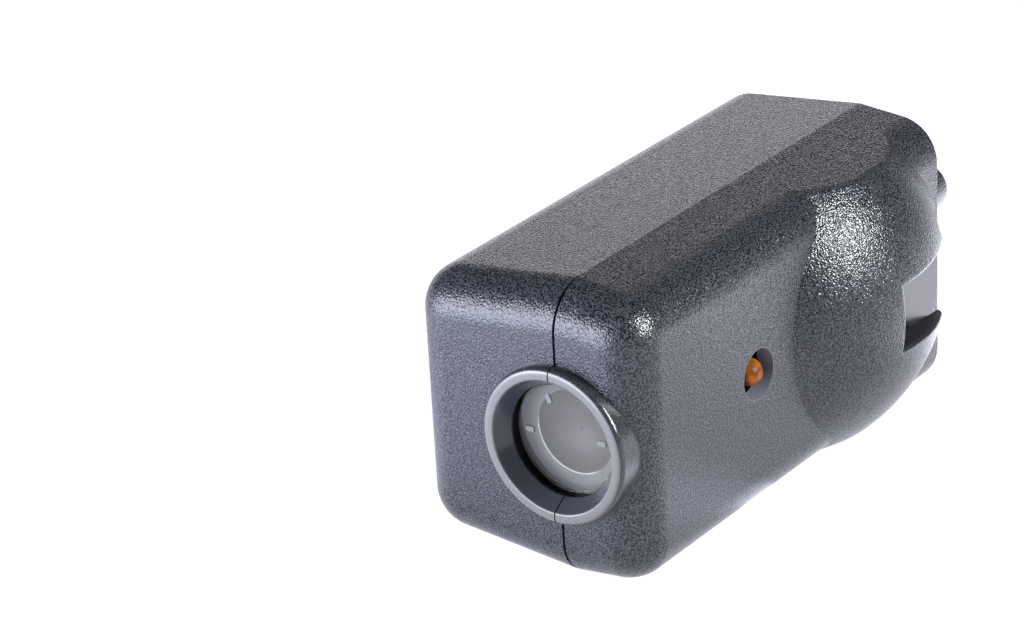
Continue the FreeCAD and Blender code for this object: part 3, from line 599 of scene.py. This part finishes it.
class SENSOR_OT_lamp(bpy.types.Operator):
    """Make the indicator lamp"""
    bl_idname = "sensor.lamp"
    bl_label = "Indicator Lamp"

    def execute(self, context):
        dress(smooth_copy("indicator_led", "indicator_lamp"), amber_lamp(context.scene.sensor_finishes))
        return {"FINISHED"}


class SENSOR_OT_inner_pieces(bpy.types.Operator):
    """Finish the pieces inside the housing"""
    bl_idname = "sensor.inner_pieces"
    bl_label = "Inner Pieces"

    def execute(self, context):
        black = moulded_black()
        wire = tinned()
        dress(smooth_copy("ir_emitter", "emitter_lamp"), clear_bluish())
        dress(smooth_copy("emitter_holder", "emitter_tube"), black)
        dress_node("circuit_board", solder_resist())
        for node in ("indicator_spacer", "timer_chip", "driver_transistor", "voltage_regulator",
                     "rectifier_diodes"):
            dress_node(node, black)
        for node in ("emitter_leads", "indicator_leads", "chip_pins", "driver_leads", "regulator_leads",
                     "capacitor_leads", "ceramic_leads", "resistor_leads", "diode_leads", "wire_terminals"):
            dress_node(node, wire)
        dress_node("storage_capacitor", coated("shrunk_sleeve", dark=(0.01, 0.014, 0.05),
                                               light=(0.02, 0.027, 0.08), grain=3 * MM, roughness=0.22))
        dress_node("ceramic_capacitors", coated("dipped_coat", dark=(0.5, 0.22, 0.04),
                                                light=(0.66, 0.33, 0.08), grain=1 * MM, roughness=0.25))
        dress_node("resistors", coated("resistor_lacquer", dark=(0.52, 0.38, 0.22),
                                       light=(0.66, 0.5, 0.32), grain=1.2 * MM, roughness=0.35))
        return {"FINISHED"}


class SENSOR_OT_stage(bpy.types.Operator):
    """Lay the floor, hang the lights and set up the camera"""
    bl_idname = "sensor.stage"
    bl_label = "Stage"

    def execute(self, context):
        stage = context.scene.sensor_stage
        lay_floor(stage)
        hang_lights(stage)
        place_camera(stage)
        return {"FINISHED"}


# Panel and start


class SENSOR_PT_pieces(bpy.types.Panel):
    """Lists the sensor's pieces"""
    bl_idname = "SENSOR_PT_pieces"
    bl_label = "Door Sensor"
    bl_space_type = "VIEW_3D"
    bl_region_type = "UI"
    bl_category = "Sensor"

    def draw(self, context):
        for name in STEPS:
            self.layout.operator(f"sensor.{name}")
        for group in (context.scene.sensor_finishes, context.scene.sensor_stage):
            for key in group.bl_rna.properties.keys():
                if key not in ("rna_type", "name"):
                    self.layout.prop(group, key)


STEPS = ("housing", "lens", "lamp", "inner_pieces", "stage")
CLASSES = (SensorFinishes, SensorStage, SENSOR_OT_housing, SENSOR_OT_lens, SENSOR_OT_lamp,
           SENSOR_OT_inner_pieces, SENSOR_OT_stage, SENSOR_PT_pieces)


def register():
    for made in CLASSES:
        bpy.utils.register_class(made)
    bpy.types.Scene.sensor_finishes = PointerProperty(type=SensorFinishes)
    bpy.types.Scene.sensor_stage = PointerProperty(type=SensorStage)


def unregister():
    del bpy.types.Scene.sensor_stage
    del bpy.types.Scene.sensor_finishes
    for made in reversed(CLASSES):
        bpy.utils.unregister_class(made)


def main():
    register()
    for name in STEPS:
        if getattr(bpy.ops.sensor, name)() != {"FINISHED"}:
            raise RuntimeError(f"{name} was not made")


if __name__ == "__main__":
    main()
